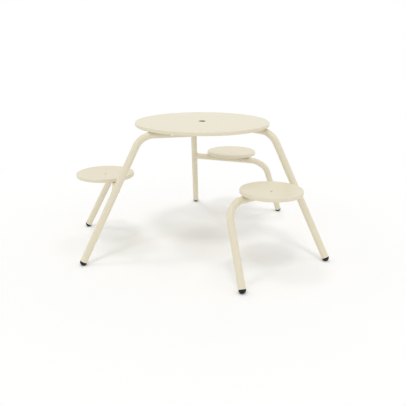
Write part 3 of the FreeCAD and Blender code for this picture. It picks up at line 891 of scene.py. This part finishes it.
def thread(length):
    """Profile of a threaded shank from its head up to its tip."""
    points = [(THREAD, 0)]
    for i in range(round(length / THREAD_PITCH)):
        for along, cut in THREAD_GROOVE:
            points.append((THREAD - cut * THREAD_CUT, (i + along) * THREAD_PITCH))
    return points + [(THREAD - THREAD_CUT, length), (0, length)]


def chamfer(angle):
    """Radius and drop of a hexagon's corner below the round face that is turned on its end."""
    reach = flats(HEX_HALF, angle)
    return reach, (reach - HEX_CHAMFER) * math.tan(math.radians(HEX_CHAMFER_SLOPE))


# %% Sections of the channel screws and nuts
DOME_HALF = 0.008
DOME_HEIGHT = 0.0044
DOME_SIDE = 0.001
DOME_SIDE_EASE = 0.0002
CROWN_STEPS = 8
SOCKET_HALF = 0.0025
SOCKET_DEPTH = 0.0025
SOCKET_POINT = 0.0006
SOCKET_EASE = 0.0003
NUT_HEIGHT = 0.0065
NUT_BITE = 0.0002
NUT_COUNTERSINK = 0.0005
SCREW_SHOWS = 0.0025

crown = DOME_HEIGHT - DOME_SIDE
crown_radius = (DOME_HALF ** 2 + crown ** 2) / (2 * crown)
crown_edge = -math.degrees(math.acos(DOME_HALF / crown_radius))
channel_screw_length = 2 * CHANNEL_OUTER + NUT_HEIGHT + SCREW_SHOWS


def dome_screw(angle):
    """Section of a domed screw with a hexagon socket."""
    socket = flats(SOCKET_HALF, angle)
    crown_start = -math.degrees(math.acos((socket + SOCKET_EASE) / crown_radius))
    dome = bend((0, crown_radius - DOME_HEIGHT), crown_radius, crown_start, crown_edge, CROWN_STEPS)
    floor = SOCKET_DEPTH - DOME_HEIGHT
    head = [(0, floor - SOCKET_POINT), (socket, floor), (socket, dome[0][1] + SOCKET_EASE)] + dome
    head += [(DOME_HALF, -DOME_SIDE_EASE), (DOME_HALF - DOME_SIDE_EASE, 0)]
    return head + thread(channel_screw_length)


def nut(angle):
    """Section of a hexagon nut, countersunk at both ends of its bore."""
    reach, drop = chamfer(angle)
    bore = THREAD - NUT_BITE
    mouth = bore + NUT_COUNTERSINK
    return [(bore, NUT_COUNTERSINK), (mouth, 0), (HEX_CHAMFER, 0), (reach, drop),
            (reach, NUT_HEIGHT - drop), (HEX_CHAMFER, NUT_HEIGHT), (mouth, NUT_HEIGHT),
            (bore, NUT_HEIGHT - NUT_COUNTERSINK)]


print("channel screws", round(channel_screw_length, 4), "m long")

# %% Set the channel screws and nuts
CHANNEL_SCREWS = (0.171, 0.251)

screw_places = []
nut_places = []
for unit in units:
    for x in CHANNEL_SCREWS:
        across = stand(Vector((x, -CHANNEL_OUTER, 0)), Vector((0, 1, 0)))
        screw_places.append(unit @ run_place @ across)
        nut_places.append(unit @ run_place @ Matrix.Translation((0, 2 * CHANNEL_OUTER, 0)) @ across)

screw_body = turned(dome_screw, FASTENER_STEPS, closed=False)
nut_body = turned(nut, FASTENER_STEPS)
scatter("channel_screws", screw_body, screw_places, steel, "stainless", "channel_bolts")
scatter("channel_screw_nuts", nut_body, nut_places, steel, "stainless", "channel_nuts")

# %% Sections of the seats' screws, washers and posts
HEX_HEAD = 0.0053
SEAT_SCREW_ALONG = 0.055
SEAT_SCREW_ACROSS = 0.092
SEAT_SCREW_LENGTH = 0.0145
WASHER_THICKNESS = 0.0016
WASHER_HALF = 0.0085
WASHER_HOLE = 0.0045
WASHER_EASE = 0.0003
POST_HALF = 0.009
POST_SINK = 0.0008


def hex_screw(angle):
    """Section of a hexagon screw."""
    reach, drop = chamfer(angle)
    head = [(0, -HEX_HEAD), (HEX_CHAMFER, -HEX_HEAD), (reach, drop - HEX_HEAD), (reach, 0)]
    return head + thread(SEAT_SCREW_LENGTH)


hole_edge = WASHER_HOLE + WASHER_EASE
outer_edge = WASHER_HALF - WASHER_EASE
washer = [(WASHER_HOLE, WASHER_EASE), (hole_edge, 0), (outer_edge, 0), (WASHER_HALF, WASHER_EASE),
          (WASHER_HALF, WASHER_THICKNESS - WASHER_EASE), (outer_edge, WASHER_THICKNESS),
          (hole_edge, WASHER_THICKNESS), (WASHER_HOLE, WASHER_THICKNESS - WASHER_EASE)]
plate_top = PLATE_LOW + PLATE_THICKNESS
post_out = math.hypot(SEAT_SCREW_ALONG, SEAT_SCREW_ACROSS)
dish_above = dish_middle[1] - math.sqrt((dish_radius + SEAT_SHEET) ** 2 - post_out ** 2)
post_top = dish_above + POST_SINK - plate_top
post = [(0, 0), (POST_HALF, 0), (POST_HALF, post_top), (0, post_top)]
print("posts", round(post_top, 4), "m tall")

# %% Set the seats' screws, washers and posts
seat_spots = []
for unit in units:
    for x in (-SEAT_SCREW_ALONG, SEAT_SCREW_ALONG):
        for y in (-SEAT_SCREW_ACROSS, SEAT_SCREW_ACROSS):
            seat_spots.append(unit @ seat_place @ Matrix.Translation((x, y, 0)))


def raised(height):
    """The spots of all the seats' screws at a height."""
    return [spot @ Matrix.Translation((0, 0, height)) for spot in seat_spots]


below_plate = raised(PLATE_LOW - WASHER_THICKNESS)
seat_screw_body = turned(hex_screw, FASTENER_STEPS, closed=False)
washer_body = turned(washer, FASTENER_STEPS)
post_body = turned(post, FASTENER_STEPS, closed=False)
scatter("seat_screws", seat_screw_body, below_plate, steel, "stainless", "seat_bolts")
scatter("seat_screw_washers", washer_body, below_plate, steel, "stainless", "seat_washers")
scatter("seat_posts", post_body, raised(plate_top), cream, "cream_paint", "seat_bosses")

# %% [markdown]
# ## Weld beads
# The arm is welded to the leg all round its saddle, the channels are stitched to the top, and the
# carriers to the arms. A bead follows a path and swells with each dab of the torch, so Geometry
# Nodes sweep a small circle whose size rises and falls along the path, with a little seeded noise.

# %% Tree for a weld bead
DAB_STEPS = 6
HAND_RATE = 150
HAND_MIDDLE = 0.5
BEAD_SIDES = 12

weld_tree, given = new_tree("weld bead", Bead_radius="Float", Ripple_pitch="Float", Ripple_depth="Float",
                            Unevenness="Float", Seed="Float", Paint="Material")
line = node(weld_tree, "GeometryNodeMeshToCurve", Mesh=given["Mesh"]).outputs["Curve"]
step = calc(weld_tree, "DIVIDE", given["Ripple pitch"], DAB_STEPS)
dabbed = node(weld_tree, "GeometryNodeResampleCurve", {"mode": "LENGTH"}, Curve=line,
              Length=step).outputs["Curve"]
length = node(weld_tree, "GeometryNodeSplineParameter").outputs["Length"]
dab = calc(weld_tree, "DIVIDE", calc(weld_tree, "MULTIPLY", length, 2 * math.pi), given["Ripple pitch"])
wave = calc(weld_tree, "MULTIPLY_ADD", calc(weld_tree, "SINE", dab), given["Ripple depth"], 1)
wander = calc(weld_tree, "MULTIPLY_ADD", length, HAND_RATE, given["Seed"])
hand = node(weld_tree, "ShaderNodeTexNoise", {"noise_dimensions": "1D"}, W=wander, Scale=1.0).outputs["Fac"]
shake = calc(weld_tree, "SUBTRACT", hand, HAND_MIDDLE)
swell = calc(weld_tree, "MULTIPLY_ADD", shake, given["Unevenness"], wave)
ring = node(weld_tree, "GeometryNodeCurvePrimitiveCircle", Resolution=BEAD_SIDES,
            Radius=given["Bead radius"]).outputs["Curve"]
bead = node(weld_tree, "GeometryNodeCurveToMesh", Curve=dabbed, Profile_Curve=ring, Scale=swell,
            Fill_Caps=True).outputs["Mesh"]
close_tree(weld_tree, bead, given["Paint"])

# %% Run the torch along paths
RIPPLE_PITCH = 0.0035
RIPPLE_DEPTH = 0.10
UNEVENNESS = 0.35


def weld(paths, radius, seed, closed=False):
    """Painted beads along paths given as lists of points."""
    beads = run_tree(weld_tree, path_mesh(paths, closed), Bead_radius=radius, Ripple_pitch=RIPPLE_PITCH,
                     Ripple_depth=RIPPLE_DEPTH, Unevenness=UNEVENNESS, Seed=seed, Paint=cream)
    beads.shade_smooth()
    return beads


# %% Path round the arm's saddle
ARM_BEAD = 0.0028
ARM_BEAD_STEPS = 120
ARM_BEAD_ALONG = 0.0006
ARM_BEAD_OUT = 0.0002

level = arm_direction.cross(UP).normalized()
saddle_path = []
for i in range(ARM_BEAD_STEPS):
    angle = 2 * math.pi * i / ARM_BEAD_STEPS
    around = level * math.cos(angle) + UP * math.sin(angle)
    reach = cope_reach(around) + ARM_BEAD_ALONG
    saddle_path.append(arm_start + arm_direction * reach + around * (TUBE_RADIUS + ARM_BEAD_OUT))
print("saddle path:", len(saddle_path), "points")

# %% Stitches between the channel and the top
STITCH_BEAD = 0.0026
STITCH_LENGTH = 0.040
STITCH_INSET = 0.004
STITCH_OUT = 0.0010
STITCH_DROP = 0.0021

stitch_paths = []
stitch_aside = CHANNEL_OUTER + STITCH_OUT
for start in (STITCH_INSET, CHANNEL_LENGTH - STITCH_INSET - STITCH_LENGTH):
    for y in (-stitch_aside, stitch_aside):
        first = Vector((CHANNEL_START + start, y, CHANNEL_WEB_TOP - STITCH_DROP))
        stitch_paths.append([run_place @ first, run_place @ (first + Vector((STITCH_LENGTH, 0, 0)))])
print("channel stitches:", len(stitch_paths))

# %% Welds between the carrier and the arm
CARRIER_BEAD = 0.0032
CARRIER_BEAD_NEAR = 0.030
CARRIER_BEAD_FAR = 0.070
CARRIER_BEAD_ASIDE = 0.0135
CARRIER_BEAD_DROP = 0.0030

carrier_paths = []
for first, last in ((-CARRIER_BEAD_FAR, -CARRIER_BEAD_NEAR), (CARRIER_BEAD_NEAR, CARRIER_BEAD_FAR)):
    for y in (-CARRIER_BEAD_ASIDE, CARRIER_BEAD_ASIDE):
        ends = [Vector((x, y - SEAT_OUTSET, PLATE_LOW - CARRIER_BEAD_DROP)) for x in (first, last)]
        carrier_paths.append([seat_place @ end for end in ends])
print("carrier welds:", len(carrier_paths))

# %% Lay the beads on all three units
SEEDS_PER_UNIT = 10
STITCH_SEED = 3
CARRIER_SEED = 6

for i, unit in enumerate(units, 1):
    seed = SEEDS_PER_UNIT * i
    arm_bead = weld([saddle_path], ARM_BEAD, seed, closed=True)
    stitch_beads = weld(stitch_paths, STITCH_BEAD, seed + STITCH_SEED)
    carrier_beads = weld(carrier_paths, CARRIER_BEAD, seed + CARRIER_SEED)
    keep(f"arm_weld_{i}", moved(arm_bead, unit), "cream_paint")
    keep(f"channel_weld_{i}", moved(stitch_beads, unit), "cream_paint")
    keep(f"carrier_weld_{i}", moved(carrier_beads, unit), "cream_paint")

# %% [markdown]
# ## White paper below
# The photograph was taken on white paper, which shows the soft shadows and then fades into a white
# background. A brighter lamp could bleach the paper, but it would bleach the paint too. So the paper
# is matt and near white, and turns plain white further out only to the camera and in reflections.
# The camera also sees through its back, so that the underside of the table can be looked at.

# %% Lay the floor
FLOOR_HALF = 12.0

floor_mesh = bpy.data.meshes.new("floor")
corners = [(-FLOOR_HALF, -FLOOR_HALF, 0), (FLOOR_HALF, -FLOOR_HALF, 0),
           (FLOOR_HALF, FLOOR_HALF, 0), (-FLOOR_HALF, FLOOR_HALF, 0)]
floor_mesh.from_pydata(corners, [], [(0, 1, 2, 3)])
floor = bpy.data.objects.new("floor", floor_mesh)
scene.collection.objects.link(floor)

paper = bpy.data.materials.new("white_paper")
paper.use_nodes = True
floor_mesh.materials.append(paper)
print("floor", 2 * FLOOR_HALF, "m wide")

# %% Fade the paper into white
FLOOR_WHITE = (0.975, 0.975, 0.97)
FADE_START = 1.3
FADE_END = 2.6


def blend(tree, share, first, second):
    """Mix two shaders."""
    made = node(tree, "ShaderNodeMixShader", Fac=share)
    tree.links.new(first, made.inputs[1])
    tree.links.new(second, made.inputs[2])
    return made.outputs["Shader"]


def looked_at(tree):
    """One where the camera, or a reflection or clear thing that it sees, looks at the surface."""
    rays = node(tree, "ShaderNodeLightPath").outputs
    shiny_or_clear = calc(tree, "MAXIMUM", rays["Is Glossy Ray"], rays["Is Transmission Ray"])
    return calc(tree, "MAXIMUM", rays["Is Camera Ray"], shiny_or_clear)


tree = paper.node_tree
tree.nodes.clear()
place = node(tree, "ShaderNodeTexCoord").outputs["Object"]
distance = node(tree, "ShaderNodeVectorMath", {"operation": "LENGTH"}, Vector=place).outputs["Value"]
fade = node(tree, "ShaderNodeMapRange", {"interpolation_type": "SMOOTHSTEP"}, Value=distance,
            From_Min=FADE_START, From_Max=FADE_END).outputs["Result"]
camera_ray = node(tree, "ShaderNodeLightPath").outputs["Is Camera Ray"]
back = node(tree, "ShaderNodeNewGeometry").outputs["Backfacing"]
matt = node(tree, "ShaderNodeBsdfDiffuse", Color=(*FLOOR_WHITE, 1)).outputs["BSDF"]
white = node(tree, "ShaderNodeEmission", Color=(1, 1, 1, 1), Strength=1.0).outputs["Emission"]
clear = node(tree, "ShaderNodeBsdfTransparent").outputs["BSDF"]
faded = blend(tree, calc(tree, "MULTIPLY", fade, looked_at(tree)), matt, white)
looked_through = blend(tree, calc(tree, "MULTIPLY", back, camera_ray), faded, clear)
node(tree, "ShaderNodeOutputMaterial", Surface=looked_through)
print("paper turns white from", FADE_START, "to", FADE_END, "m out")

# %% [markdown]
# ## Studio light
# The shadows on the floor tell how the table was lit. Their soft dark pools, each right below a seat
# or the top, come from a room with bright white walls, a dimmer ceiling and a large soft box overhead.
# A world of one even white would wash them out, so the world's strength follows the height of the
# direction. The streaks at the feet and the second, fainter pools come from three soft lamps high up.

# %% Light the room
DIM_FILL = 0.45
WALL_FILL = 1.04
BOX_FILL = 0.83
# Heights in degrees above level.
WALL_LOW = 8
WALL_HIGH = 45
BOX_LOW = 62

world = bpy.data.worlds.new("studio")
scene.world = world
world.use_nodes = True
tree = world.node_tree
tree.nodes.clear()
direction = node(tree, "ShaderNodeTexCoord").outputs["Generated"]
rise = node(tree, "ShaderNodeSeparateXYZ", Vector=direction).outputs["Z"]


def above(degrees):
    """One where the direction looks higher than some degrees above level."""
    return calc(tree, "GREATER_THAN", rise, math.sin(math.radians(degrees)))


walls = calc(tree, "SUBTRACT", above(WALL_LOW), above(WALL_HIGH))
fill = calc(tree, "MULTIPLY_ADD", walls, WALL_FILL - DIM_FILL, DIM_FILL)
fill = calc(tree, "MULTIPLY_ADD", above(BOX_LOW), BOX_FILL - DIM_FILL, fill)
strength = between(tree, looked_at(tree), fill, high=1, start=0, end=1)
sky = node(tree, "ShaderNodeBackground", Color=(1, 1, 1, 1), Strength=strength).outputs["Background"]
node(tree, "ShaderNodeOutputWorld", Surface=sky)
print("walls", WALL_FILL, "ceiling", DIM_FILL, "box", BOX_FILL)

# %% Set the soft lamps
# Each has its bearing, height and spread in degrees, and its strength.
LAMPS = {
    "front_lamp": (260, 66, 12, 0.415),
    "left_lamp": (156, 71, 9, 0.205),
    "right_lamp": (14, 71, 9, 0.105),
}

for name, (bearing, height, spread, power) in LAMPS.items():
    lamp = bpy.data.lights.new(name, "SUN")
    lamp.energy = power
    lamp.angle = math.radians(spread)
    holder = bpy.data.objects.new(name, lamp)
    holder.rotation_euler = (math.radians(90 - height), 0, math.radians(bearing + 90))
    scene.collection.objects.link(holder)

scene.view_settings.view_transform = "Standard"
print("lamps:", list(LAMPS))
